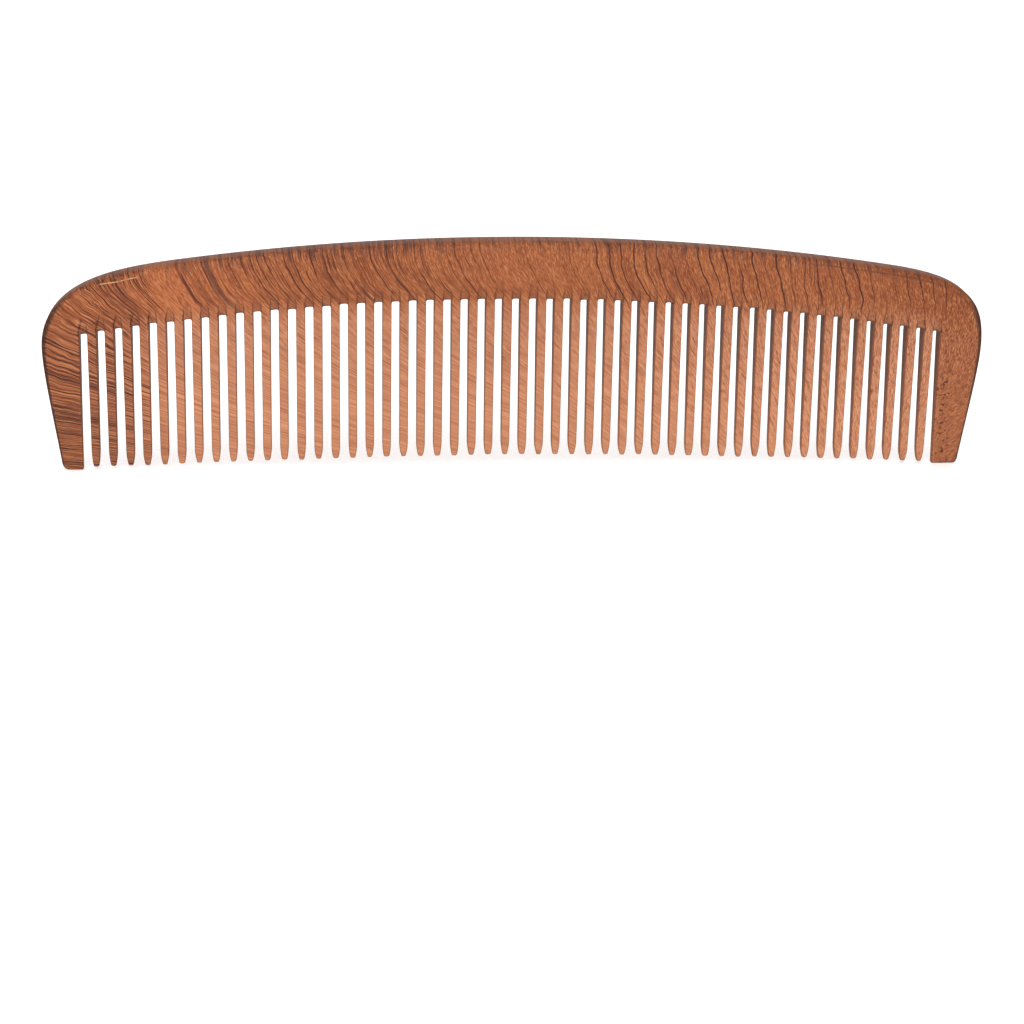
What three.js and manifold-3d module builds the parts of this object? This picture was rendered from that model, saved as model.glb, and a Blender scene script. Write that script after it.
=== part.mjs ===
// A fine wooden beard comb, sawn from one flat board. It stands on its guard teeth.
// X runs along the comb, Y through its thickness and Z up from the tips to the back.
// The origin is on the ground under the middle of the comb. Sizes are in millimetres.

import * as THREE from 'three';
import { mergeVertices } from 'three/addons/utils/BufferGeometryUtils.js';
import Module from 'manifold-3d';

// Overall sizes.
const length = 180;
const height = 45.1;
const spine_thickness = 5.0;
const tip_thickness = 1.2;

// The back: one long arc, with a shoulder curve at each end.
const back_radius = 477;
const shoulder_drop = 20.8;
const left_shoulder = { reach: 30.6, back_pull: 14.8, side_pull: 13.5 };
const right_shoulder = { reach: 17.7, back_pull: 13.4, side_pull: 9.7 };
const edge_round = 0.8;

// The sides lean in from the widest place to the tips of the guard teeth.
const side_lean = 8.5;
const side_inset = 3.2;
const side_pull = 5.0;
const lower_side_pull = 8.0;
const guard_corner = 1.6;

// The saw cuts between the teeth end on a long arc under the spine.
const spine_depth = 11.1;
const gullet_radius = 497;
const slot_width = 1.62;
const end_slot_width = 1.6;
const left_guard_width = 7.05;
const right_guard_width = 8.25;

// The fine teeth. Their tips lie on a shallow arch above the guard tips.
const tooth_count = 50;
const tip_width = 0.7;
const tip_taper = 3.0;
const end_tip_rise = 0.45;
const middle_tip_rise = 2.45;
const tip_arch_power = 1.5;

// How finely curves are divided, how far a cutting shape stands past the board, and how
// close two points are when they count as one.
const curve_steps = 12;
const round_steps = 3;
const taper_steps = 4;
const past_board = 5;
const same_point = 1e-4;

// Places that follow from the sizes above.
const half_length = length / 2;
const row_left = left_guard_width - half_length;
const row_right = half_length - right_guard_width;
const row_middle = (row_left + row_right) / 2;
const first_edge = row_left + end_slot_width;
const last_edge = row_right - end_slot_width;
const tooth_width = (last_edge - first_edge - (tooth_count - 1) * slot_width) / tooth_count;
const pitch = tooth_width + slot_width;
const widest_height = height - shoulder_drop;
const gullet_top = height - spine_depth;

const wasm = await Module();
wasm.setup();

// Height of an arc of the given radius whose top is over the middle of the row.
function arcHeight(x, top, radius) {
  const across = x - row_middle;
  return top - radius + Math.sqrt(radius * radius - across * across);
}

function backHeight(x) {
  return arcHeight(x, height, back_radius);
}

function gulletHeight(x) {
  return arcHeight(x, gullet_top, gullet_radius);
}

// Tips rise from the ends of the row to its middle.
function tipHeight(x) {
  const share = Math.abs(x - row_middle) / ((last_edge - first_edge) / 2);
  return middle_tip_rise - (middle_tip_rise - end_tip_rise) * share ** tip_arch_power;
}

// A closed geometry becomes a solid once only its positions are left and shared.
function toSolid(geometry) {
  const bare = geometry.clone();
  bare.deleteAttribute('normal');
  bare.deleteAttribute('uv');
  const merged = mergeVertices(bare, same_point);
  const mesh = new wasm.Mesh({
    numProp: 3,
    vertProperties: new Float32Array(merged.attributes.position.array),
    triVerts: new Uint32Array(merged.index.array),
  });
  mesh.merge();
  return new wasm.Manifold(mesh);
}

function toGeometry(solid) {
  const mesh = solid.getMesh();
  const geometry = new THREE.BufferGeometry();
  geometry.setAttribute('position', new THREE.BufferAttribute(mesh.vertProperties, 3));
  geometry.setIndex(new THREE.BufferAttribute(mesh.triVerts, 1));
  geometry.computeVertexNormals();
  return geometry;
}

// Extrudes a front view through a thickness that is centred on Y = 0.
function extrudeFront(shape, thickness, round) {
  const geometry = new THREE.ExtrudeGeometry(shape, {
    depth: thickness - 2 * round,
    steps: 1,
    curveSegments: curve_steps,
    bevelEnabled: round > 0,
    bevelThickness: round,
    bevelSize: round,
    bevelOffset: -round,
    bevelSegments: round_steps,
  });
  geometry.translate(0, 0, round - thickness / 2);
  geometry.rotateX(Math.PI / 2);
  return toSolid(geometry);
}

// Cuts out the part of the board behind a front view given by its corners, [x, z] each.
function cutFrom(board, corners) {
  const shape = new THREE.Shape(corners.map(([x, z]) => new THREE.Vector2(x, z)));
  return board.intersect(extrudeFront(shape, spine_thickness + 2 * past_board, 0));
}

// Adds one end of the comb to the outline, from the back down to the guard tip.
// side is 1 on the right and -1 on the left.
function endCurves(side, shoulder) {
  const start_x = side * (half_length - shoulder.reach);
  const start = new THREE.Vector2(start_x, backHeight(start_x));
  const slope = Math.asin((start_x - row_middle) / back_radius);
  const along = new THREE.Vector2(Math.cos(slope), -Math.sin(slope)).multiplyScalar(side);
  const lean = THREE.MathUtils.degToRad(side_lean);
  const edge = side * half_length;
  const foot = side * (half_length - side_inset);
  const corner_lean = guard_corner * Math.tan(lean);
  const back = new THREE.CubicBezierCurve(
    start,
    along.multiplyScalar(shoulder.back_pull).add(start),
    new THREE.Vector2(edge, widest_height + shoulder.side_pull),
    new THREE.Vector2(edge, widest_height),
  );
  const flank = new THREE.CubicBezierCurve(
    new THREE.Vector2(edge, widest_height),
    new THREE.Vector2(edge, widest_height - side_pull),
    new THREE.Vector2(
      foot + side * (corner_lean + lower_side_pull * Math.sin(lean)),
      guard_corner + lower_side_pull * Math.cos(lean),
    ),
    new THREE.Vector2(foot + side * corner_lean, guard_corner),
  );
  const corner = new THREE.QuadraticBezierCurve(
    new THREE.Vector2(foot + side * corner_lean, guard_corner),
    new THREE.Vector2(foot, 0),
    new THREE.Vector2(foot - side * guard_corner, 0),
  );
  return [back, flank, corner].flatMap((curve) => curve.getPoints(curve_steps));
}

// Points on the back between two places, the first one included.
function backPoints(from, to) {
  return Array.from({ length: curve_steps }, (_, i) => {
    const x = from + ((to - from) * i) / curve_steps;
    return new THREE.Vector2(x, backHeight(x));
  });
}

// The outline of the whole board, from the left guard tip over the back to the right one.
function boardOutline() {
  const left = endCurves(-1, left_shoulder).reverse();
  const right = endCurves(1, right_shoulder);
  const left_end = left[left.length - 1].x;
  const back = [...backPoints(left_end, row_middle), ...backPoints(row_middle, right[0].x)];
  const loop = [...left, ...back, ...right];
  const apart = loop.filter((point, i) => i === 0 || point.distanceTo(loop[i - 1]) > same_point);
  return new THREE.Shape(apart.reverse());
}

// The board's section: even through the spine, then planed to a wedge down to the tips.
function planedSection() {
  const half_spine = spine_thickness / 2;
  const half_tip = tip_thickness / 2;
  const section = new THREE.Shape();
  section.moveTo(-half_tip, 0);
  section.lineTo(half_tip, 0);
  section.lineTo(half_spine, gullet_top);
  section.lineTo(half_spine, height + past_board);
  section.lineTo(-half_spine, height + past_board);
  section.lineTo(-half_spine, gullet_top);
  const geometry = new THREE.ExtrudeGeometry(section, {
    depth: length + 2 * past_board,
    bevelEnabled: false,
  });
  geometry.translate(0, 0, -half_length - past_board);
  geometry.rotateY(Math.PI / 2);
  geometry.rotateX(Math.PI / 2);
  return toSolid(geometry);
}

function toothLeft(i) {
  return first_edge + i * pitch;
}

// Everything above the gullet arc, with the roots of both guard teeth.
function spineCorners() {
  const roots = [];
  for (let i = 0; i < tooth_count; i += 1) {
    const left = toothLeft(i);
    const right = left + tooth_width;
    roots.push([left, gulletHeight(left)], [right, gulletHeight(right)]);
  }
  return [
    [-half_length - past_board, widest_height],
    [row_left, widest_height],
    [row_left, gulletHeight(row_left)],
    ...roots,
    [row_right, gulletHeight(row_right)],
    [row_right, widest_height],
    [half_length + past_board, widest_height],
    [half_length + past_board, height + past_board],
    [-half_length - past_board, height + past_board],
  ];
}

// One fine tooth: straight sides, then a curved taper to a blunt tip.
function toothCorners(i) {
  const left = toothLeft(i);
  const right = left + tooth_width;
  const middle = (left + right) / 2;
  const tip = tipHeight(middle);
  const taper = new THREE.QuadraticBezierCurve(
    new THREE.Vector2(tooth_width / 2, tip + tip_taper),
    new THREE.Vector2(tooth_width / 2, tip + tip_taper / 2),
    new THREE.Vector2(tip_width / 2, tip),
  ).getPoints(taper_steps);
  return [
    [left, gulletHeight(left)],
    ...taper.map((point) => [middle - point.x, point.y]),
    ...taper.reverse().map((point) => [middle + point.x, point.y]),
    [right, gulletHeight(right)],
  ];
}

// A guard tooth reaches from the widest place of the comb down to the ground.
function guardCorners(side) {
  const inner = side < 0 ? row_left : row_right;
  const outer = side * (half_length + past_board);
  const corners = [
    [outer, widest_height],
    [outer, -past_board],
    [inner, -past_board],
    [inner, widest_height],
  ];
  return side < 0 ? corners : corners.reverse();
}

function wood(colour) {
  return new THREE.MeshStandardMaterial({ color: colour, roughness: 0.5, metalness: 0 });
}

function piece(name, solid, material) {
  const mesh = new THREE.Mesh(toGeometry(solid), material);
  mesh.name = name;
  return mesh;
}

function buildComb() {
  const outline = extrudeFront(boardOutline(), spine_thickness, edge_round);
  const board = outline.intersect(planedSection());
  const comb = new THREE.Group();
  comb.add(piece('spine', cutFrom(board, spineCorners()), wood(0xa9673f)));
  comb.add(piece('guard_tooth_left', cutFrom(board, guardCorners(-1)), wood(0x9c5c39)));
  comb.add(piece('guard_tooth_right', cutFrom(board, guardCorners(1)), wood(0xae6a42)));
  for (let i = 0; i < tooth_count; i += 1) {
    const name = `tooth_${String(i + 1).padStart(2, '0')}`;
    comb.add(piece(name, cutFrom(board, toothCorners(i)), wood(0xc58257)));
  }
  return comb;
}

export default buildComb();
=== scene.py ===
"""A fine wooden beard comb, as one continuous piece of streaky hardwood.

The comb's solids come from the frame. One finished mesh stands for all of them: flat faces
planed to a wedge, rounded edges, sawn slots with shallow run-outs above them, and a figure of
dark growth lines that runs through the wood in three dimensions.
"""
import math
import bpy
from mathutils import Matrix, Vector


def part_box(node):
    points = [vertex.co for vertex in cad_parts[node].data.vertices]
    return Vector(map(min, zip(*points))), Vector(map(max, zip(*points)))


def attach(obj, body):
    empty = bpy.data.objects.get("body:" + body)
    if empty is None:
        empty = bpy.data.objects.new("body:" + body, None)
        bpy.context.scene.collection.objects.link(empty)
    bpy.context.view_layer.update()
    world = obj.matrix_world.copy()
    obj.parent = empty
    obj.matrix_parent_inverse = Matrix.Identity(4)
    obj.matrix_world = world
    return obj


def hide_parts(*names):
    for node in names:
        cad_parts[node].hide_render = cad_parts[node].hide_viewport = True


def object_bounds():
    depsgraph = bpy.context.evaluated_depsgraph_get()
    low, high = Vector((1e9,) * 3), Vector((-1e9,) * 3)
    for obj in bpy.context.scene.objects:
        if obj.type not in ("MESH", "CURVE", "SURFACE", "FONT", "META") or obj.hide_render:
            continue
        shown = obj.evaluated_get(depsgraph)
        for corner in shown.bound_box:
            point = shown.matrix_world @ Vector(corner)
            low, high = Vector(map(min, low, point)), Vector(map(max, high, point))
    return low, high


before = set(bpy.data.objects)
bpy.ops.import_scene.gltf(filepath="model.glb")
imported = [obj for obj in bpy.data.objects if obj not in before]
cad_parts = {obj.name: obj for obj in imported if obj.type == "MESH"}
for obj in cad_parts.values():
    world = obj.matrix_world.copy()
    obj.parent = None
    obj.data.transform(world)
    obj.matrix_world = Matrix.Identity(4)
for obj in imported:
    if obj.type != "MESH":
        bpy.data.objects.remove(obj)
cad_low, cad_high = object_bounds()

from types import SimpleNamespace

import bmesh
import bpy
import numpy as np
from mathutils import Matrix, Vector

MM = 0.001

# ---------------------------------------------------------------- sizes taken from the frame

TOOTH_COUNT = 50
tooth_boxes = [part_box(f"tooth_{i + 1:02d}") for i in range(TOOTH_COUNT)]
tooth_left = np.array([low[0] for low, high in tooth_boxes])
tooth_right = np.array([high[0] for low, high in tooth_boxes])
tooth_tip = np.array([low[2] for low, high in tooth_boxes])
row_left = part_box("guard_tooth_left")[1][0]
row_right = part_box("guard_tooth_right")[0][0]
row_middle = (row_left + row_right) / 2
half_length = (cad_high[0] - cad_low[0]) / 2
crown = cad_high[2]
half_spine = (cad_high[1] - cad_low[1]) / 2
widest_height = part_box("guard_tooth_left")[1][2]

# ---------------------------------------------------------------- the comb's own shape, metres

BACK_RADIUS = 477 * MM
GULLET_RADIUS = 497 * MM
SPINE_DEPTH = 11.1 * MM
HALF_TIP = 0.6 * MM
WEDGE_BLEND = 0.05 * MM
SHOULDERS = {
    -1: {"reach": 30.6 * MM, "back_pull": 14.8 * MM, "side_pull": 13.5 * MM},
    1: {"reach": 17.7 * MM, "back_pull": 13.4 * MM, "side_pull": 9.7 * MM},
}
SIDE_LEAN = math.radians(8.5)
SIDE_INSET = 3.2 * MM
SIDE_PULL = 5.0 * MM
LOWER_SIDE_PULL = 8.0 * MM
GUARD_CORNER = {-1: 1.3 * MM, 1: 0.9 * MM}
GUARD_INNER_CORNER = 0.35 * MM
CORNER_PULL = 0.67
INNER_CORNER_PULL = 0.6
# How the points round a guard's bottom are spaced, from its flank to its slot.
GUARD_BOTTOM_STEPS = np.array([1.2, 1, 1, 1.2, 1.6, 1.8, 1.4, 0.6, 0.5, 0.5])
TIP_HALF_WIDTH = 0.42 * MM
TIP_TAPER = 3.0 * MM
TIP_ROUND = 0.4 * MM
TIP_EDGE_SHARE = 0.35
SLOT_CORNER = 0.38 * MM
SLOT_END_DROP = 0.12 * MM
ROOT_WIDENING = 0.045 * MM

# How far the rounded edges reach over the faces, at the ground and at the root.
TOOTH_EDGE_LOW = 0.26 * MM
TOOTH_EDGE_HIGH = 0.12 * MM
BACK_EDGE_LOW = 0.5 * MM
BACK_EDGE_HIGH = 1.3 * MM
SAWN_DEPTH_LOW = 0.3 * MM
SAWN_DEPTH_HIGH = 0.25 * MM
OUTER_DEPTH = 0.8 * MM
OUTER_DEPTH_SHARE = 0.6
MOST_OF_TOOTH = 0.75

# The shallow run-out that the saw leaves above each slot. Its reach to each side is a share of
# the slot's half width, and narrows by the second share on the way up.
RUN_OUT_DEPTH = 0.32 * MM
RUN_OUT_LENGTH = 3.4 * MM
RUN_OUT_START = 1.2 * MM
RUN_OUT_REACH = 1.25
RUN_OUT_NARROWING = 0.45
RUN_OUT_FADE = 1.3

# How round the two arches at a slot's end and the end of a tooth are.
SLOT_ARCH_POWER = 3.2
SLOT_EDGE_POWER = 2.5
SLOT_EDGE_REACH = 0.45 * MM
TIP_POWER = 2.4

# Small differences from one saw cut to the next.
SLOT_TOP_SPREAD = 0.07 * MM
TOOTH_DRIFT = 0.015 * MM
TIP_SPREAD = 0.05 * MM
TIP_RANGE = (0.85, 1.2)

# Grid counts.
OVER_POINTS, DOWN_POINTS, BACK_POINTS = 160, 80, 400
SIDE_ROWS = 20
TOOTH_COLUMNS = 5
SLOT_COLUMNS = 8
GUARD_COLUMNS = 10
SPINE_ROWS = 24
SHOULDER_REACH = 0.07
SPINE_CROWDING = 1.5
TOOTH_CROWDING = 0.28
EDGE_STEPS = 4
WALL_STEPS = 2

gullet_top = crown - SPINE_DEPTH
rng = np.random.default_rng(12)


def arc_height(x, top, radius):
    """Height of a circle of the given radius whose top is over the middle of the row."""
    return top - radius + np.sqrt(radius**2 - (x - row_middle) ** 2)


def smooth(value, low, high):
    """0 below low, 1 above high, and 3t^2 - 2t^3 between."""
    t = np.clip((value - low) / (high - low), 0.0, 1.0)
    return t * t * (3 - 2 * t)


# Each slot is cut between two walls, and its end sits near the gullet arc.
slot_left = np.concatenate([[row_left], tooth_right])
slot_right = np.concatenate([tooth_left, [row_right]])
slot_middle = (slot_left + slot_right) / 2
slot_half = (slot_right - slot_left) / 2
slot_top = arc_height(slot_middle, gullet_top, GULLET_RADIUS)
slot_top = slot_top - SLOT_END_DROP + rng.normal(0, SLOT_TOP_SPREAD, slot_top.size)
slot_foot = slot_top - SLOT_CORNER


def half_thickness(x, z):
    """Half the board's thickness. It is even down to the gullets and then falls in a straight
    line to the tips; where the two meet, a bump of blend * exp(-distance / blend) is taken off.
    The run-outs are taken off as well: each is deepest on its slot's middle line, falls off as
    1 - (sideways / reach)^4 and fades as (1 - rise / length)^1.3 above the slot."""
    wedge = HALF_TIP + (half_spine - HALF_TIP) * z / gullet_top
    low = np.minimum(wedge, half_spine)
    plain = low - WEDGE_BLEND * np.exp(-np.abs(wedge - half_spine) / WEDGE_BLEND)
    j = np.abs(x[..., None] - slot_middle).argmin(-1)
    rise = np.clip((z - slot_foot[j]) / RUN_OUT_LENGTH, 0.0, 1.0)
    reach = slot_half[j] * (RUN_OUT_REACH - RUN_OUT_NARROWING * rise)
    across = np.clip(1 - ((x - slot_middle[j]) / reach) ** 4, 0.0, 1.0)
    start = smooth(z, slot_foot[j] - RUN_OUT_START, slot_foot[j])
    return plain - RUN_OUT_DEPTH * across * start * (1 - rise) ** RUN_OUT_FADE


def bezier(corners, count):
    """Points (1-t)^3 a + 3(1-t)^2 t b + 3(1-t) t^2 c + t^3 d of a cubic curve."""
    t = np.linspace(0, 1, count)[:, None]
    a, b, c, d = (np.array(corner) for corner in corners)
    return (1 - t) ** 3 * a + 3 * (1 - t) ** 2 * t * b + 3 * (1 - t) * t * t * c + t**3 * d


def end_outline(side):
    """One end, from the back over the shoulder and down the flank to the guard's corner: two
    cubic curves that meet upright at the widest point."""
    shoulder = SHOULDERS[side]
    x = side * (half_length - shoulder["reach"])
    start = np.array([x, arc_height(x, crown, BACK_RADIUS)])
    slope = math.asin((x - row_middle) / BACK_RADIUS)
    along = side * np.array([math.cos(slope), -math.sin(slope)])
    widest = np.array([side * half_length, widest_height])
    up = np.array([0.0, 1.0])
    lean = np.array([side * math.sin(SIDE_LEAN), math.cos(SIDE_LEAN)])
    corner = GUARD_CORNER[side]
    foot_x = side * (half_length - SIDE_INSET + corner * math.tan(SIDE_LEAN))
    foot = np.array([foot_x, corner])
    over = bezier([start, start + along * shoulder["back_pull"],
                   widest + up * shoulder["side_pull"], widest], OVER_POINTS)
    down = bezier([widest, widest - up * SIDE_PULL, foot + lean * LOWER_SIDE_PULL, foot],
                  DOWN_POINTS)
    return np.vstack([over, down[1:]])


def whole_outline():
    """The outline from the left guard's corner, over the back, to the right guard's corner."""
    left = end_outline(-1)[::-1]
    right = end_outline(1)
    x = np.linspace(left[-1, 0], right[0, 0], BACK_POINTS)[1:-1]
    back = np.stack([x, arc_height(x, crown, BACK_RADIUS)], 1)
    return np.vstack([left, back, right])


outline = whole_outline()
outline_step = np.linalg.norm(np.diff(outline, axis=0), axis=1)
outline_run = np.concatenate([[0.0], np.cumsum(outline_step)])
tangent = np.gradient(outline, outline_run, axis=0)
tangent /= np.linalg.norm(tangent, axis=1)[:, None]
outline_inward = np.stack([tangent[:, 1], -tangent[:, 0]], 1)


def on_outline(run):
    """The outline's point and the rounded edge's inner point at a distance along it."""
    point = np.stack([np.interp(run, outline_run, outline[:, k]) for k in (0, 1)], -1)
    inward = np.stack([np.interp(run, outline_run, outline_inward[:, k]) for k in (0, 1)], -1)
    inward /= np.linalg.norm(inward, axis=-1)[..., None]
    share = smooth(point[..., 1], 0, gullet_top)
    width = BACK_EDGE_LOW + (BACK_EDGE_HIGH - BACK_EDGE_LOW) * share
    return point, point + inward * width[..., None]


# The outline's widest points, and the points where each shoulder runs at 45 degrees.
left_widest = int(outline[:, 0].argmin())
right_widest = int(outline[:, 0].argmax())
off_diagonal = np.abs(np.abs(tangent[:, 0]) - np.abs(tangent[:, 1]))
upper = outline[:, 1] > widest_height
left_corner = int(np.where(upper & (outline[:, 0] < 0), off_diagonal, np.inf).argmin())
right_corner = int(np.where(upper & (outline[:, 0] > 0), off_diagonal, np.inf).argmin())


def tooth_edge(z):
    """How far a tooth's rounded edge reaches over its face at a height."""
    share = np.clip(z / gullet_top, 0.0, 1.0)
    return TOOTH_EDGE_LOW + (TOOTH_EDGE_HIGH - TOOTH_EDGE_LOW) * share


def root_inset(z):
    """Each side of a slot leans in a little on its way up, so the teeth widen to their roots:
    nothing below a tenth of the teeth's height, all of it above three quarters."""
    return -ROOT_WIDENING * smooth(z, 0.1 * gullet_top, 0.75 * gullet_top)


def edge_depth(z, finish):
    """How deep a rounded edge reaches into the thickness at a height. The finish is 0 for the
    outer edge, 1 for a sawn slot, and between them where one runs into the other."""
    share = np.clip(z / gullet_top, 0, 1)
    half = HALF_TIP + (half_spine - HALF_TIP) * share
    outer = np.minimum(OUTER_DEPTH, OUTER_DEPTH_SHARE * half)
    slot = SAWN_DEPTH_LOW + (SAWN_DEPTH_HIGH - SAWN_DEPTH_LOW) * share
    return outer + (slot - outer) * finish


# ---------------------------------------------------------------- surface patches

class Surface:
    """Collects grids of points; each grid becomes a sheet of four-sided faces."""

    def __init__(self):
        self.points, self.faces, self.edge, self.finish = [], [], [], []
        self.count = 0

    def add(self, grid, edge, finish):
        rows, columns = grid.shape[:2]
        index = self.count + np.arange(rows * columns).reshape(rows, columns)
        quads = np.stack([index[:-1, :-1], index[:-1, 1:], index[1:, 1:], index[1:, :-1]], -1)
        self.points.append(grid.reshape(-1, 3))
        self.faces.append(quads.reshape(-1, 4))
        self.edge.append(np.repeat(edge, columns))
        self.finish.append(np.tile(np.broadcast_to(finish, columns), rows))
        self.count += rows * columns


OILED, SAWN = 0, 1
WELD_DISTANCE = 0.002 * MM
surface = Surface()


def add_faces(grid):
    """A front-view grid of (x, z) becomes the front face at -half thickness and the back face
    at +half thickness."""
    half = half_thickness(grid[..., 0], grid[..., 1])
    for side in (-1, 1):
        surface.add(np.stack([grid[..., 0], side * half, grid[..., 1]], -1),
                    np.zeros(len(grid)), OILED)


def add_rim(outer, inner, finish):
    """The rounded edge from the front face's border, over the wall, to the back face's border.
    Round the edge a point is inner + (outer - inner) sin(a), at a depth of
    half - edge (1 - cos(a)) from the middle plane; the wall between is straight."""
    half_in = half_thickness(inner[:, 0], inner[:, 1])
    half_out = half_thickness(outer[:, 0], outer[:, 1])
    edge = edge_depth(outer[:, 1], finish)
    angle = np.linspace(0, math.pi / 2, EDGE_STEPS + 1)
    strips, shares = [], []
    for a in angle:
        shares.append(a / angle[-1])
        plan = inner + (outer - inner) * math.sin(a)
        half = half_in + (half_out - half_in) * math.sin(a)
        depth = half - edge * (1 - math.cos(a))
        strips.append(np.stack([plan[:, 0], -depth, plan[:, 1]], -1))
    wall = half_out - edge
    back = [strip * np.array([1, -1, 1]) for strip in strips]
    middle = []
    for share in np.linspace(-1, 1, WALL_STEPS + 1)[1:-1]:
        middle.append(np.stack([outer[:, 0], share * wall, outer[:, 1]], -1))
    edge_share = np.array(shares + [1.0] * len(middle) + shares[::-1])
    surface.add(np.stack(strips + middle + back[::-1]), edge_share, finish)


def between(left, right, columns):
    """Straight rows between two border lines."""
    t = np.linspace(0, 1, columns + 1)[None, :, None]
    return left[:, None] * (1 - t) + right[:, None] * t


def superellipse(angle, power):
    """The unit curve |x|^power + |z|^power = 1 at an angle from 0, on the left, to pi."""
    c, s = np.cos(angle), np.sin(angle)
    return -np.sign(c) * np.abs(c) ** (2 / power), np.abs(s) ** (2 / power)


def make_slot_end(j):
    """The end of a slot: a flat arch with rounded corners, and its edge's inner border."""
    angle = np.linspace(0, math.pi, SLOT_COLUMNS + 1)
    foot = slot_foot[j]
    inset = root_inset(foot)
    half = slot_half[j] + inset
    edge = tooth_edge(foot)
    x, z = superellipse(angle, SLOT_ARCH_POWER)
    tilt = (arc_height(slot_right[j], 0, GULLET_RADIUS)
            - arc_height(slot_left[j], 0, GULLET_RADIUS)) / 2
    outer = np.stack([slot_middle[j] + half * x, foot + (SLOT_CORNER + tilt * x) * z], 1)
    x, z = superellipse(angle, SLOT_EDGE_POWER)
    reach = SLOT_CORNER + SLOT_EDGE_REACH
    inner = np.stack([slot_middle[j] + (half + edge) * x, foot + (reach + tilt * x) * z], 1)
    add_rim(outer, inner, SAWN)
    return inner


def make_tooth(i):
    """A tooth from its root to its blunt tip. Its half width is w - (w - tip)(1 - t)^2, where t
    is the share of the taper's length above the tip, and the end is a flat ellipse."""
    middle_root = (tooth_left[i] + tooth_right[i]) / 2
    middle = middle_root + rng.normal(0, TOOTH_DRIFT)
    wide = (tooth_right[i] - tooth_left[i]) / 2
    tip = tooth_tip[i] + rng.normal(0, TIP_SPREAD)
    tip_half = TIP_HALF_WIDTH * rng.uniform(*TIP_RANGE)
    taper = TIP_TAPER * rng.uniform(*TIP_RANGE)
    end = tip + TIP_ROUND
    rows = np.linspace(0, 1, SIDE_ROWS + 1)
    rows = rows + TOOTH_CROWDING * np.sin(math.pi * rows) * rows
    borders = []
    for side, foot in ((-1, slot_foot[i]), (1, slot_foot[i + 1])):
        z = foot + (end - foot) * rows
        share = np.clip((z - tip) / taper, 0, 1)
        half = wide - (wide - tip_half) * (1 - share) ** 2 - root_inset(z)
        drift = middle_root + (middle - middle_root) * rows
        edge = np.minimum(tooth_edge(z), MOST_OF_TOOTH * half)
        outer = np.stack([drift + side * half, z], 1)
        inner = np.stack([drift + side * (half - edge), z], 1)
        borders.append((outer, inner, half[-1], edge[-1]))
        add_rim(outer, inner, SAWN)
    angle = np.linspace(0, math.pi, TOOTH_COLUMNS + 1)
    x, z = superellipse(angle, TIP_POWER)
    half, edge = borders[0][2], borders[0][3]
    outer = np.stack([middle + half * x, end - TIP_ROUND * z], 1)
    inner = np.stack([middle + (half - edge) * x, end - TIP_EDGE_SHARE * TIP_ROUND * z], 1)
    for k, border in ((0, borders[0]), (-1, borders[1])):
        outer[k], inner[k] = border[0][-1], border[1][-1]
    add_rim(outer, inner, SAWN)
    grid = between(borders[0][1], borders[1][1], TOOTH_COLUMNS)
    grid[-1] = inner
    add_faces(grid)
    return grid[0]


def make_guard(side):
    """A guard tooth between the comb's flank and the first slot. Straight rows join the two
    sides, and two cubic curves round its bottom corners."""
    ends = (0, left_widest) if side < 0 else (len(outline) - 1, right_widest)
    rows = np.linspace(0, 1, SIDE_ROWS + 1)
    run = outline_run[ends[1]] + (outline_run[ends[0]] - outline_run[ends[1]]) * rows
    outer_flank, inner_flank = on_outline(run)
    wall_x = row_left if side < 0 else row_right
    foot = slot_foot[0] if side < 0 else slot_foot[-1]
    z = foot + (GUARD_INNER_CORNER - foot) * rows
    x = wall_x + side * root_inset(z)
    outer_wall = np.stack([x, z], 1)
    inner_wall = np.stack([x + side * tooth_edge(z), z], 1)
    add_rim(outer_flank, inner_flank, OILED)
    add_rim(outer_wall, inner_wall, SAWN)

    foot_x = side * (half_length - SIDE_INSET)
    start, stop = outer_flank[-1], outer_wall[-1]
    corner, inner_corner = side * GUARD_CORNER[side], side * GUARD_INNER_CORNER
    turn = [start, start + (np.array([foot_x, 0]) - start) * CORNER_PULL,
            np.array([foot_x - corner * (1 - CORNER_PULL), 0.0]),
            np.array([foot_x - corner, 0.0])]
    inner_turn = [np.array([wall_x + inner_corner, 0.0]),
                  np.array([wall_x + inner_corner * (1 - INNER_CORNER_PULL), 0.0]),
                  np.array([wall_x, GUARD_INNER_CORNER * (1 - INNER_CORNER_PULL)]), stop]
    path = np.vstack([bezier(turn, 30), bezier(inner_turn, 30)])
    run = np.concatenate([[0], np.cumsum(np.linalg.norm(np.diff(path, axis=0), axis=1))])
    steps = np.concatenate([[0], np.cumsum(GUARD_BOTTOM_STEPS)])
    stops = steps / steps[-1] * run[-1]
    outer = np.stack([np.interp(stops, run, path[:, k]) for k in (0, 1)], 1)
    t = stops / run[-1]
    edge_from = np.linalg.norm(inner_flank[-1] - start)
    edge_to = np.linalg.norm(inner_wall[-1] - stop)
    flow = np.gradient(outer, stops, axis=0)
    flow /= np.linalg.norm(flow, axis=1)[:, None]
    inward = np.stack([-flow[:, 1], flow[:, 0]], 1) * -side
    inner = outer + inward * (edge_from + (edge_to - edge_from) * t)[:, None]
    inner[0], inner[-1] = inner_flank[-1], inner_wall[-1]
    add_rim(outer, inner, t)
    grid = between(inner_flank, inner_wall, GUARD_COLUMNS)
    grid[-1] = inner
    add_faces(grid)
    return grid[0]


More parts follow.
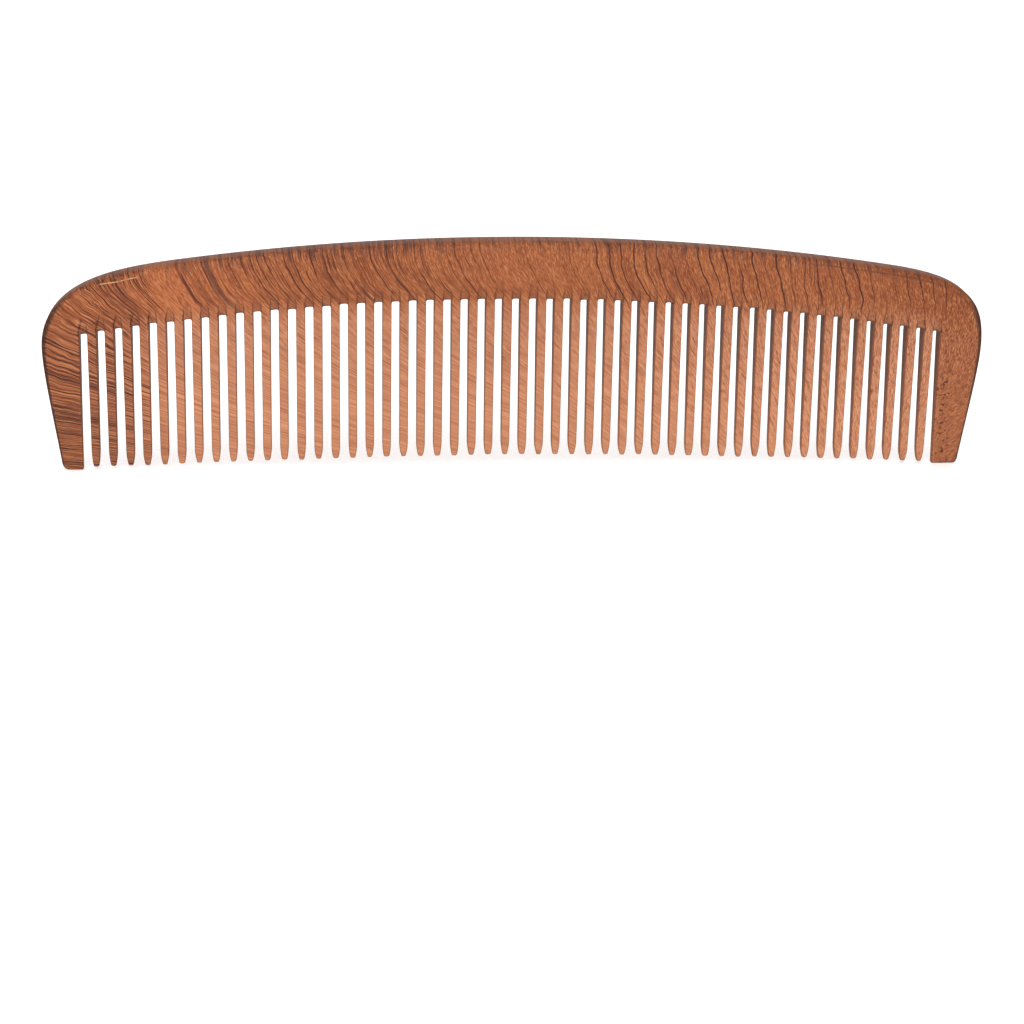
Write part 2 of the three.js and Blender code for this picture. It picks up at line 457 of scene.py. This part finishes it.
def make_spine(bottom):
    """The spine's faces between the gullets and the back. Columns run straight from the bottom
    border to the back. Near each end a point also shifts with the shoulder's border, by a
    weight of (1 - share / reach)^2, so the rows bend to follow the shoulder."""
    columns = len(bottom)
    rows = np.linspace(0, 1, SPINE_ROWS + 1) ** SPINE_CROWDING
    share = (bottom[:, 0] - bottom[0, 0]) / (bottom[-1, 0] - bottom[0, 0])
    top_x = outline[left_corner, 0] + share * (outline[right_corner, 0] - outline[left_corner, 0])
    back = slice(left_corner, right_corner + 1)
    run = np.interp(top_x, outline[back, 0], outline_run[back])
    run[0], run[-1] = outline_run[left_corner], outline_run[right_corner]
    outer_top, inner_top = on_outline(run)
    add_rim(outer_top, inner_top, OILED)
    sides = []
    for start, stop in ((left_widest, left_corner), (right_widest, right_corner)):
        way = outline_run[stop] - outline_run[start]
        outer, inner = on_outline(outline_run[start] + way * rows)
        add_rim(outer, inner, OILED)
        sides.append(inner)
    v = rows[:, None, None]
    grid = bottom[None] * (1 - v) + inner_top[None] * v
    for border, ends, away in ((sides[0], 0, share), (sides[1], columns - 1, 1 - share)):
        weight = np.clip(1 - away / SHOULDER_REACH, 0, 1) ** 2
        shift = border - (bottom[ends] * (1 - rows[:, None]) + inner_top[ends] * rows[:, None])
        grid = grid + weight[None, :, None] * shift[:, None]
    add_faces(grid)


def join_rows(pieces):
    """Neighbouring border lines share their end points."""
    return np.vstack([pieces[0]] + [piece[1:] for piece in pieces[1:]])


def make_all_patches():
    """Guards, slot ends and teeth from left to right, then the spine over their borders."""
    border = [make_guard(-1)]
    for i in range(TOOTH_COUNT):
        border.append(make_slot_end(i))
        border.append(make_tooth(i))
    border.append(make_slot_end(TOOTH_COUNT))
    border.append(make_guard(1)[::-1])
    make_spine(join_rows(border))


make_all_patches()


def make_comb():
    """Welds the patches into one closed mesh, with its faces pointing out."""
    mesh = bpy.data.meshes.new("comb")
    faces = np.vstack(surface.faces)
    mesh.from_pydata(np.vstack(surface.points), [], faces)
    for name, values in (("edge", surface.edge), ("sawn", surface.finish)):
        layer = mesh.attributes.new(name, "FLOAT", "POINT")
        layer.data.foreach_set("value", np.concatenate(values).astype(np.float32))
    build = bmesh.new()
    build.from_mesh(mesh)
    bmesh.ops.remove_doubles(build, verts=build.verts, dist=WELD_DISTANCE)
    bmesh.ops.recalc_face_normals(build, faces=build.faces)
    build.to_mesh(mesh)
    build.free()
    mesh.shade_smooth()
    piece = bpy.data.objects.new("comb_body", mesh)
    bpy.context.scene.collection.objects.link(piece)
    return piece


comb = make_comb()
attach(comb, "root")
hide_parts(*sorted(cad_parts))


# ---------------------------------------------------------------- wood

class Nodes:
    """Short ways of adding nodes; a value may be a number, a tuple or another node's output."""

    def __init__(self, tree):
        self.tree = tree

    def put(self, kind, **settings):
        node = self.tree.nodes.new("ShaderNode" + kind)
        for name, value in settings.items():
            setattr(node, name, value)
        return node

    def feed(self, socket, value):
        if isinstance(value, bpy.types.NodeSocket):
            self.tree.links.new(value, socket)
        elif value is not None:
            socket.default_value = value

    def math(self, kind, *values, clamp=False):
        node = self.put("Math", operation=kind, use_clamp=clamp)
        for socket, value in zip(node.inputs, values):
            self.feed(socket, value)
        return node.outputs[0]

    def times(self, first, *others):
        for other in others:
            first = self.math("MULTIPLY", first, other)
        return first

    def plus(self, first, second):
        return self.math("ADD", first, second)

    def minus(self, first, second):
        return self.math("SUBTRACT", first, second)

    def scaled(self, value, factor, offset):
        """value * factor + offset"""
        return self.math("MULTIPLY_ADD", value, factor, offset)

    def most(self, first, *others):
        for other in others:
            first = self.math("MAXIMUM", first, other)
        return first

    def least(self, first, second):
        return self.math("MINIMUM", first, second)

    def size(self, value):
        return self.math("ABSOLUTE", value)

    def span(self, value, low, high, start=0.0, stop=1.0, kind="LINEAR"):
        """Straight from start, where the value is low, to stop, where it is high."""
        node = self.put("MapRange", interpolation_type=kind)
        for name, item in (("Value", value), ("From Min", low), ("From Max", high),
                           ("To Min", start), ("To Max", stop)):
            self.feed(node.inputs[name], item)
        return node.outputs[0]

    def ease(self, value, low, high, start=0.0, stop=1.0):
        """Like span, but with a soft start and stop."""
        return self.span(value, low, high, start, stop, "SMOOTHSTEP")

    def near(self, value, full, none, top=1.0):
        """top where the value is within full of nothing, falling to 0 at none."""
        return self.ease(self.size(value), full, none, top, 0.0)

    def vector(self, x, y, z):
        node = self.put("CombineXYZ")
        for socket, value in zip(node.inputs, (x, y, z)):
            self.feed(socket, value)
        return node.outputs[0]

    def noise(self, where, scale=1.0, detail=2.0, rough=0.5):
        node = self.put("TexNoise")
        self.feed(node.inputs["Vector"], where)
        node.inputs["Scale"].default_value = scale
        node.inputs["Detail"].default_value = detail
        node.inputs["Roughness"].default_value = rough
        return node.outputs["Fac"]

    def grain(self, axes, scales, detail=2.0, rough=0.5):
        """Noise whose three axes are each multiplied by a scale; an axis may be a number."""
        parts = [self.times(axis, scale) if isinstance(axis, bpy.types.NodeSocket)
                 else axis * scale for axis, scale in zip(axes, scales)]
        return self.noise(self.vector(*parts), detail=detail, rough=rough)

    def chance(self, step):
        """A steady random value, from 0 to 1, for each whole number."""
        node = self.put("TexWhiteNoise", noise_dimensions="1D")
        self.feed(node.inputs["W"], step)
        return node.outputs["Value"]

    def mix(self, share, first, second):
        node = self.put("Mix", data_type="RGBA", blend_type="MIX")
        self.feed(node.inputs["Factor"], share)
        for name, value in (("A", first), ("B", second)):
            socket = [s for s in node.inputs if s.name == name and s.type == "RGBA"][0]
            self.feed(socket, (*value, 1) if isinstance(value, tuple) else value)
        return [s for s in node.outputs if s.type == "RGBA"][0]

    def attribute(self, name):
        return self.put("Attribute", attribute_name=name).outputs["Fac"]


# The wood's colours as a display shows them, 0 to 255, before the light's share.
LIGHT_SHARE = 0.67
TINTS = {
    "spine": (164, 88, 44),
    "light spine": (182, 106, 57),
    "warm left": (206, 116, 66),
    "right end": (148, 73, 25),
    "teeth": (206, 138, 102),
    "tips": (228, 156, 116),
    "thread": (132, 62, 32),
    "pale thread": (226, 156, 108),
    "dark speck": (104, 42, 18),
    "light speck": (236, 168, 116),
    # Painted shade over the saw's run-outs, and the darker painted shade line down their sides.
    "run-out": (122, 72, 50),
    "painted run-out shade line": (80, 44, 30),
    "band": (84, 58, 50),
    "smudge": (84, 58, 52),
    "line side": (122, 52, 24),
    "line core": (58, 26, 15),
    "pore": (88, 45, 27),
    "knot": (84, 30, 16),
    "scratch": (232, 176, 118),
    # The next five tints are painted shade, with a grey painted reflection, for the rounded edges
    # and sawn walls; the front cut is a sawn wall's lit front.
    "painted edge shade": (108, 86, 78),
    "flank": (46, 30, 25),
    "front cut": (176, 108, 74),
    "painted cut half shade": (118, 86, 72),
    "painted cut deep shade": (66, 46, 40),
    "rim bar": (82, 58, 54),
    # Painted shade line where each rounded edge meets its face.
    "painted_brink_shade": (92, 50, 32),
    # Painted shade line where the right shoulder's rounding meets the flat face.
    "painted shoulder shade": (92, 50, 36),
}

# How far the growth lines lean with depth, in millimetres. Down to the lean's depth they lean
# by upper * depth^2, and below it by the three lower factors times depth, depth^2 and depth^3.
LEAN_DEPTH = 9.0
UPPER_LEAN = 0.045
LOWER_LEAN = (0.81, 0.01, 0.00073)
LEAN_LOSS = 0.0133
LEAST_UPPER_LEAN = 0.5
FAR_LEFT = -65.0
FAR_LEFT_BEND = 0.009
RIGHT_TURN_DEPTH = 20.0
RIGHT_TURN = 0.04
SLANT_THROUGH = 0.04
SPREAD_LEFT_OF = -85.0
SPREAD = 0.4

# Where along the field the lines are strong or weak: (field in millimetres, strength).
FIELD_END = 110
LINE_STRENGTH = [(-110, 1.0), (-92, 1.0), (-86, 0.8), (-80, 0.85), (-73, 0.85), (-70, 0.35),
                 (-66, 0.35), (-64, 0.65), (-61.5, 0.6), (-58, 0.55), (-54, 0.8), (-47, 0.75),
                 (-43, 1.0), (-33, 0.95), (-30, 0.75), (-26, 0.9), (-19, 0.8), (-13, 0.6),
                 (3, 0.55), (6, 0.65), (13, 0.6), (15, 0.85), (34, 0.85), (37, 0.7),
                 (48, 0.85), (65, 0.75), (75, 0.6), (95, 0.5)]
LINE_GAIN = 1.35
BAND_AT = -59.3

# The painted shade over the saw's run-outs, in millimetres: least height, how much more by
# chance, and ripple.
RUN_OUT_HEIGHT, RUN_OUT_CHANCE, RUN_OUT_RIPPLE = 2.8, 1.4, 0.25

# The pale scratch on the front: where it starts, how high and how it climbs, in millimetres.
SCRATCH_X, SCRATCH_Z, SCRATCH_CLIMB, SCRATCH_WAVE = -75.5, 37.5, 0.195, 0.06


def tint(name):
    """One of the tints as linear light, times the light's share."""
    c = np.array(TINTS[name]) / 255
    low = c / 12.92
    high = ((c + 0.055) / 1.055) ** 2.4
    return tuple(np.where(c <= 0.04045, low, high) * LIGHT_SHARE)


def lay(n, colour, layers):
    """Lays each tint over the colour in turn, by its share."""
    for share, name in layers:
        colour = n.mix(share, colour, tint(name))
    return colour


def measure_wood(n):
    """Position in millimetres, and the figure: a solid field u whose level surfaces are growth
    lines. u is x, less the lean that grows with the depth below the back and fades to the
    right, plus a turn the other way on the right guard tooth, a slight slant through the
    thickness, and two noises, one slow and one quick. Left of the shoulder x is bent by
    bend * (x - left)^2, so that lines lie flatter there. v is u with its left end spread out."""
    w = SimpleNamespace()
    large = n.put("VectorMath", operation="SCALE")
    n.feed(large.inputs[0], n.put("TexCoord").outputs["Object"])
    large.inputs["Scale"].default_value = 1 / MM
    split = n.put("SeparateXYZ")
    n.feed(split.inputs[0], large.outputs[0])
    x, y, z = w.x, w.y, w.z = split.outputs

    # Depth below the back, whose sag away from the middle is followed by half.
    sag = n.times(x, x, 0.5 * MM / (2 * BACK_RADIUS))
    w.depth = n.minus(n.minus(crown / MM, z), sag)
    w.under_back = n.minus(w.depth, sag)

    upper = n.least(w.depth, LEAN_DEPTH)
    lower = n.most(n.minus(w.depth, LEAN_DEPTH), 0.0)
    upper_lean = n.times(upper, upper, UPPER_LEAN)
    lower_lean = n.times(lower, LOWER_LEAN[0])
    lower_lean = n.scaled(n.times(lower, lower), LOWER_LEAN[1], lower_lean)
    lower_lean = n.scaled(n.math("POWER", lower, 3.0), LOWER_LEAN[2], lower_lean)
    less = n.scaled(n.most(x, 0.0), -LEAN_LOSS, 1.0)
    left = n.least(n.minus(x, FAR_LEFT), 0.0)
    u = n.scaled(n.times(left, left), FAR_LEFT_BEND, x)
    u = n.minus(u, n.times(less, lower_lean))
    u = n.minus(u, n.times(n.most(less, LEAST_UPPER_LEAN), upper_lean))
    deep = n.most(n.minus(w.depth, RIGHT_TURN_DEPTH), 0.0)
    u = n.scaled(n.ease(x, 70, 84), n.times(deep, deep, RIGHT_TURN), u)
    u = n.scaled(y, SLANT_THROUGH, u)
    slow = n.grain((x, y, z), (0.10, 0.05, 0.17), detail=1.0)
    u = n.scaled(n.minus(slow, 0.5), n.ease(x, -20, 40, 1.3, 2.4), u)
    quick = n.grain((x, y, z), (0.35, 0.1, 0.35), detail=1.0)
    w.u = n.scaled(n.minus(quick, 0.5), n.ease(x, -84, -72, 1.3, 0.35), u)
    w.v = n.scaled(n.least(n.minus(w.u, SPREAD_LEFT_OF), 0.0), -SPREAD, w.u)
    w.across = n.scaled(x, 0.4, z)
    w.right_end = n.ease(x, 60, 78)
    return w


def growth_lines(n, v, rate, wander, seed, start, full):
    """Dark lines at the ends of the repeats of rate * v plus a slow wander. Each builds up
    between two shares of its step and then stops sharply; each has its own darkness."""
    slow = n.grain((v, 0.0, seed), (rate * 0.26, 1.0, 1.0))
    phase = n.scaled(v, rate, n.times(slow, wander))
    step = n.math("FRACT", phase)
    core = n.ease(step, n.scaled(start, 0.4, full * 0.6), full)
    mask = n.scaled(core, 0.65, n.times(n.ease(step, start, full), 0.35))
    mask = n.times(mask, n.ease(step, full + 0.02, 1.0, 1.0, 0.0))
    return n.times(mask, n.scaled(n.chance(n.math("FLOOR", phase)), 0.9, 0.25))


def line_strength(n, w):
    """How strong the lines are: along the field by the table, weaker below the spine except at
    the left end, and broken up by a noise."""
    ramp = n.put("ValToRGB")
    stops = ramp.color_ramp.elements
    while len(stops) < len(LINE_STRENGTH):
        stops.new(0.5)
    for stop, (at, strength) in zip(stops, LINE_STRENGTH):
        stop.position = (at + FIELD_END) / (2 * FIELD_END)
        stop.color = (strength, strength, strength, 1)
    n.feed(ramp.inputs["Fac"], n.span(w.v, -FIELD_END, FIELD_END))
    grey = n.put("RGBToBW")
    n.feed(grey.inputs[0], ramp.outputs["Color"])
    w.fade = n.most(n.ease(w.depth, 9, 13, 1.0, 0.28), n.ease(w.x, -78, -60, 1.0, 0.0))
    broken = n.grain((w.v, w.across, w.y), (1.2, 0.28, 1.0))
    w.broken = n.ease(broken, 0.32, 0.55, 0.45, 1.0)
    w.strength = n.times(grey.outputs[0], w.fade, w.broken)


def dark_lines(n, w):
    """Growth lines: bold and close on the left, even over the left half, fine and further
    apart on the right, with thin threads and patches of close lines between them."""
    x, y, v, across = w.x, w.y, w.v, w.across
    thinner = n.most(n.ease(x, 5, 40), n.ease(v, -92, -84, 0.7, 0.0))
    bold = growth_lines(n, v, 0.85, 5.0, 3.0, n.scaled(thinner, 0.2, 0.55), 0.9)
    bold = n.times(bold, n.ease(v, -58, -54, 1.0, 0.4))
    even = growth_lines(n, v, 0.62, 1.2, 29.0, 0.55, 0.9)
    even = n.times(even, n.ease(v, -58, -54), n.ease(v, 0, 8, 1.2, 0.0))
    sparse = growth_lines(n, v, 0.4, 0.9, 11.0, 0.74, 0.93)
    sparse = n.times(sparse, n.ease(v, 4, 14, 0.0, 1.6))
    patch = n.grain((v, across, 5.0), (0.16, 0.07, 1.0), detail=1.0)
    close = growth_lines(n, v, 1.5, 2.5, 17.0, 0.45, 0.82)
    close = n.times(close, n.ease(patch, 0.32, 0.5), n.ease(x, -30, 0, 1.1, 0.65))
    second = n.grain((v, across, y), (2.2, 0.05, 1.0), rough=0.6)
    third = n.grain((v, across, y), (3.4, 0.12, 1.0), detail=1.0)
    thin = n.most(n.near(n.minus(second, 0.5), 0.01, 0.045),
                  n.near(n.minus(third, 0.45), 0.01, 0.06, 0.6))
    thin = n.times(thin, n.ease(v, -60, -50, 0.85, 0.55))
    dark = n.times(n.most(bold, even, sparse, thin, close), w.strength)
    return n.math("MULTIPLY", dark, LINE_GAIN, clamp=True)


def painted_run_out_shade(n, x, z):
    """Painted shade over the saw's run-outs: a pointed arch above each slot, whose half width is
    the slot's less half the square of the climb, and a fine painted shade line down both its
    sides."""
    aside = n.minus(x, row_middle / MM)
    arc = n.math("SQRT", n.scaled(n.times(aside, aside), -1.0, (GULLET_RADIUS / MM) ** 2))
    rise = n.plus(n.minus(z, arc), (GULLET_RADIUS - gullet_top) / MM)
    pitch = (tooth_left[1] - tooth_left[0]) / MM
    cell = n.scaled(x, 1 / pitch, 0.5 - slot_middle[1] / MM / pitch)
    which = n.math("FLOOR", cell)
    aside = n.times(n.size(n.minus(n.math("FRACT", cell), 0.5)), pitch)
    ripple = n.grain((which, 0.0, z), (3.7, 1.0, 0.8))
    aside = n.scaled(n.minus(ripple, 0.5), RUN_OUT_RIPPLE, aside)
    tall = n.scaled(n.chance(which), RUN_OUT_CHANCE, RUN_OUT_HEIGHT)
    climb = n.math("DIVIDE", rise, tall)
    above = n.most(climb, 0.0)
    half_gap = n.scaled(n.times(above, above), -0.5, slot_half[1] / MM)
    beside = n.minus(aside, half_gap)
    fade = n.times(n.ease(climb, 0.1, 1.0, 1.0, 0.0), n.ease(rise, -0.6, 0.0),
                   n.ease(x, row_left / MM - 0.3, row_left / MM),
                   n.ease(x, row_right / MM, row_right / MM + 0.3, 1.0, 0.0))
    arch = n.times(n.ease(beside, -0.12, 0.1, 1.0, 0.0), fade)
    run_out_shade_line = n.times(n.near(beside, 0.03, 0.2), fade)
    return arch, run_out_shade_line


def plain_wood(n, w):
    """The wood's own colour, before any marks: cloudy on the spine, warmer near the left,
    browner at the right end, and paler down the teeth."""
    cloud = n.grain((w.v, w.across, w.y), (0.3, 0.06, 0.1), detail=3.0)
    spine = n.mix(n.ease(cloud, 0.28, 0.72), tint("spine"), tint("light spine"))
    warm = n.times(n.ease(w.x, -62, -36, 0.5, 0.0), n.ease(w.x, -85, -79))
    spine = lay(n, spine, [(warm, "warm left"), (n.times(w.right_end, 0.8), "right end")])
    teeth = n.mix(n.ease(w.depth, 14, 36), tint("teeth"), tint("tips"))
    on_teeth = n.times(n.ease(w.depth, 9.5, 16), n.ease(w.x, -78, -60, 0.5, 1.0),
                       n.ease(w.x, -84, -82, 0.4, 1.0), n.ease(w.x, 80, 83, 1.0, 0.2))
    return n.mix(on_teeth, spine, teeth)


def add_figure(n, w, colour, dark):
    """Threads, specks, the painted shade over the run-outs, the one broad band, smudges under the
    back, growth lines, the painted shade lines beside the run-outs, pores and knots, one over the
    other."""
    x, y, z, v, across = w.x, w.y, w.z, w.v, w.across
    threads = n.times(n.ease(w.fibre, 0.4, 0.68), n.scaled(w.right_end, 0.12, 0.7))
    pale = n.grain((v, across, n.scaled(y, 2.0, 13.0)), (4.0, 0.45, 1.0), rough=0.6)
    speck = n.grain((v, across, y), (6.0, 1.3, 6.0), detail=1.0)
    arch, run_out_shade_line = painted_run_out_shade(n, x, z)
    band = n.times(n.near(n.minus(w.u, BAND_AT), 0.3, 0.7), w.fade)
    smudge = n.grain((v, 0.0, 7.0), (0.7, 1.0, 1.0))
    smudge = n.times(n.ease(smudge, 0.5, 0.62), n.ease(w.under_back, 0.3, 3.6, 1.0, 0.0),
                     n.ease(w.strength, 0.2, 0.8, 0.25, 0.85))
    pores = n.grain((v, across, y), (4.5, 1.3, 5.0), detail=1.0)
    pores = n.times(n.ease(pores, 0.58, 0.72), n.scaled(w.right_end, 0.35, 0.4))
    knots = n.grain((x, y, z), (1.2, 1.0, 1.5))
    knots = n.times(n.ease(knots, 0.58, 0.64), n.ease(x, 80, 82),
                    n.ease(x, 83.5, 86.0, 1.0, 0.3), n.ease(z, 16, 20, 1.0, 0.3))
    return lay(n, colour, [
        (threads, "thread"),
        (n.times(n.ease(pale, 0.54, 0.7), 0.34), "pale thread"),
        (n.ease(speck, 0.5, 0.66, 0.0, 0.36), "dark speck"),
        (n.ease(speck, 0.34, 0.5, 0.28, 0.0), "light speck"),
        # Painted shade over each run-out.
        (n.times(arch, n.ease(x, -60, -10, 0.4, 0.32)), "run-out"),
        (n.times(band, 0.75), "band"),
        (n.times(smudge, 0.85), "smudge"),
        (n.ease(dark, 0.05, 0.75, 0.0, 0.8), "line side"),
        (n.ease(dark, 0.35, 1.0, 0.0, 0.95), "line core"),
        # Painted shade line down the sides of each run-out.
        (n.times(run_out_shade_line, 0.75), "painted run-out shade line"),
        (pores, "pore"),
        (n.times(knots, 0.9), "knot"),
    ])


def scratch_mark(n, w):
    """A pale hairline scratch near the left end of the front face: a straight climb with a
    small sine wave on it."""
    path = n.scaled(n.minus(w.x, SCRATCH_X), SCRATCH_CLIMB, SCRATCH_Z)
    path = n.scaled(n.math("SINE", n.times(w.x, 1.1)), SCRATCH_WAVE, path)
    length = n.times(n.ease(w.x, -79.4, -78.0), n.ease(w.x, -72.2, -71.4, 1.0, 0.0))
    return n.times(n.near(n.minus(w.z, path), 0.05, 0.16), length,
                   n.ease(w.y, -1.5, -1.0, 1.0, 0.0), n.ease(w.broken, 0.5, 0.9, 0.4, 1.0), 0.75)


def add_edge_shade_and_rim_bars(n, w, colour, edge):
    """Painted shade on the rounded edges and sawn walls: they are painted darker and greyer, with
    a grey painted reflection, most of all towards the back of the board; the flanks get the
    darkest painted shade. Grey bars cross the top rim, a fine painted shade line runs where each
    rounded edge meets its face, and another lies where the right shoulder's rounding meets the
    flat face."""
    x, y, z = w.x, w.y, w.z
    sawn = n.attribute("sawn")
    root = gullet_top / MM
    half = n.scaled(n.least(z, root), (half_spine - HALF_TIP) / MM / root, HALF_TIP / MM)
    behind = n.math("DIVIDE", y, half)
    # Painted shade: the outer rounded edges below the shoulders get the darkest painted shade.
    flank = n.times(n.ease(z, 30, 37, 1.0, 0.0), n.minus(1.0, sawn))
    painted_edge_shade_mask = n.ease(edge, n.scaled(flank, -0.33, 0.35), n.scaled(flank, -0.58, 0.9))
    edge_shade_colour = n.mix(flank, tint("painted edge shade"), tint("flank"))
    # Painted shade across each sawn wall: the lit colour at the front face, deepening painted
    # shade towards the back.
    cut = n.mix(n.ease(behind, -0.7, 0.5), tint("front cut"), tint("painted cut half shade"))
    cut = n.mix(n.ease(behind, 0.45, 0.85), cut, tint("painted cut deep shade"))
    share = n.scaled(n.most(sawn, flank), 0.3, 0.5)
    colour = n.mix(n.times(painted_edge_shade_mask, share), colour, n.mix(sawn, edge_shade_colour, cut))
    bars = n.grain((w.v, 0.0, 21.0), (1.3, 1.0, 1.0), detail=3.0, rough=0.65)
    bars = n.times(n.ease(bars, 0.48, 0.6), n.ease(w.under_back, 0.2, 2.2, 1.0, 0.0),
                   n.ease(w.strength, 0.1, 0.7, 0.35, 0.7))
    # Painted shade: a fine dark line where each rounded edge meets its face.
    painted_brink_shade = n.times(n.ease(edge, 0.12, 0.4), n.ease(edge, 0.6, 0.95, 1.0, 0.0),
                    n.scaled(sawn, 0.25, 0.1))
    # Painted shade: a dark line where the right shoulder's rounding meets the flat face.
    shoulder = n.times(n.ease(edge, 0.0, 0.06), n.ease(edge, 0.12, 0.28, 1.0, 0.0),
                       n.ease(x, 48, 62), n.ease(z, 24, 30), 0.55)
    return lay(n, colour, [(bars, "rim bar"), (painted_brink_shade, "painted_brink_shade"), (shoulder, "painted shoulder shade")])


def make_wood():
    """Streaky hardwood whose figure runs through the solid, so that faces, edges, slot walls
    and back all agree."""
    material = bpy.data.materials.new("streaky_hardwood")
    material.use_nodes = True
    n = Nodes(material.node_tree)
    shader = material.node_tree.nodes["Principled BSDF"]
    w = measure_wood(n)
    w.fibre = n.grain((w.v, w.across, w.y), (3.5, 0.6, 2.0), detail=3.0, rough=0.7)
    line_strength(n, w)
    dark = dark_lines(n, w)
    edge = n.attribute("edge")
    colour = add_figure(n, w, plain_wood(n, w), dark)
    colour = lay(n, colour, [(scratch_mark(n, w), "scratch")])
    n.feed(shader.inputs["Base Color"], add_edge_shade_and_rim_bars(n, w, colour, edge))
    n.feed(shader.inputs["Specular IOR Level"], n.ease(edge, 0.1, 0.6, 0.22, 0.03))
    n.feed(shader.inputs["Roughness"], n.span(w.fibre, 0.2, 0.8, 0.48, 0.62))
    bump = n.put("Bump")
    bump.inputs["Strength"].default_value = 0.25
    bump.inputs["Distance"].default_value = 0.03 * MM
    n.feed(bump.inputs["Height"], n.scaled(dark, -0.6, n.times(w.fibre, 0.5)))
    n.feed(shader.inputs["Normal"], bump.outputs[0])
    return material


comb.data.materials.append(make_wood())


def make_paper():
    """Pale card with a very faint, fine tooth."""
    material = bpy.data.materials.new("pale_card")
    material.use_nodes = True
    n = Nodes(material.node_tree)
    shader = material.node_tree.nodes["Principled BSDF"]
    place = n.put("TexCoord").outputs["Object"]
    tooth = n.noise(place, scale=900.0, detail=2.0)
    pale = n.mix(n.ease(tooth, 0.3, 0.7), (0.88, 0.88, 0.88), (0.92, 0.92, 0.92))
    n.feed(shader.inputs["Base Color"], pale)
    n.feed(shader.inputs["Roughness"], n.span(tooth, 0.2, 0.8, 0.55, 0.68))
    return material


# ---------------------------------------------------------------- floor, light and camera

FLOOR_FLAT, FLOOR_RISE = 2.0, 1.2
FLOOR_FLAT_RINGS, FLOOR_CURVE_RINGS, FLOOR_SPOKES = 20, 16, 96
KEY_POWER = 5.0
WORLD_STRENGTH = 1.35
CAMERA_TARGET = (-0.0011, 0, 0.02265)
CAMERA_DISTANCE = 0.4577
CAMERA_TURN = math.radians(-4.46)
CAMERA_RISE = math.radians(15.33)
CAMERA_ROLL = math.radians(0.93)
CAMERA_LENS = 83.97
CAMERA_SHIFT = -0.1553


def make_floor():
    """A round pale floor, level out to its flat radius, that then turns up as a quarter circle:
    outwards by rise * sin(a) and up by rise * (1 - cos(a))."""
    a = np.linspace(0.1, math.pi / 2, FLOOR_CURVE_RINGS)
    level = np.linspace(0, FLOOR_FLAT, FLOOR_FLAT_RINGS)
    rings = np.concatenate([level, FLOOR_FLAT + FLOOR_RISE * np.sin(a)])
    heights = np.concatenate([np.zeros(level.size), FLOOR_RISE * (1 - np.cos(a))])
    turn = np.linspace(0, 2 * math.pi, FLOOR_SPOKES + 1)[:-1]
    points = np.stack([rings[:, None] * np.cos(turn), rings[:, None] * np.sin(turn),
                       np.repeat(heights[:, None], turn.size, 1)], -1)
    mesh = bpy.data.meshes.new("floor")
    n = turn.size
    index = np.arange(rings.size * n).reshape(rings.size, n)
    ahead = np.roll(index, -1, 1)
    quads = np.stack([index[:-1], index[1:], ahead[1:], ahead[:-1]], -1)[1:].reshape(-1, 4)
    centre = [[0, int(index[1, k]), int(ahead[1, k])] for k in range(n)]
    mesh.from_pydata(points.reshape(-1, 3), [], quads.tolist() + centre)
    mesh.shade_smooth()
    piece = bpy.data.objects.new("floor", mesh)
    piece.data.materials.append(make_paper())
    bpy.context.scene.collection.objects.link(piece)


def make_light(name, power, size, place, target):
    """A soft rectangular light that faces its target."""
    lamp = bpy.data.lights.new(name, "AREA")
    lamp.shape = "RECTANGLE"
    lamp.size, lamp.size_y = size
    lamp.energy = power
    piece = bpy.data.objects.new(name, lamp)
    way = Vector(target) - Vector(place)
    turn = way.to_track_quat("-Z", "Y").to_matrix().to_4x4()
    piece.matrix_world = Matrix.Translation(place) @ turn
    bpy.context.scene.collection.objects.link(piece)


def make_camera():
    """The viewing angle: a little above and to the left of the comb's middle."""
    lens = bpy.data.cameras.new("camera")
    lens.lens = CAMERA_LENS
    lens.sensor_width = 36
    lens.shift_y = CAMERA_SHIFT
    lens.clip_start, lens.clip_end = 0.01, 20
    back = Vector((math.sin(CAMERA_TURN) * math.cos(CAMERA_RISE),
                   -math.cos(CAMERA_TURN) * math.cos(CAMERA_RISE), math.sin(CAMERA_RISE)))
    turn = (-back).to_track_quat("-Z", "Y").to_matrix() @ Matrix.Rotation(CAMERA_ROLL, 3, "Z")
    place = Vector(CAMERA_TARGET) + back * CAMERA_DISTANCE
    piece = bpy.data.objects.new("camera", lens)
    piece.matrix_world = Matrix.Translation(place) @ turn.to_4x4()
    bpy.context.scene.collection.objects.link(piece)
    bpy.context.scene.camera = piece


make_floor()
make_light("key", KEY_POWER, (0.9, 0.6), (-0.2, -0.7, 0.7), (0, 0, 0.02))
make_camera()
world = bpy.data.worlds.new("soft_white")
world.use_nodes = True
sky = world.node_tree.nodes["Background"]
sky.inputs["Color"].default_value = (1, 1, 1, 1)
sky.inputs["Strength"].default_value = WORLD_STRENGTH
bpy.context.scene.world = world
bpy.context.scene.view_settings.view_transform = "Standard"
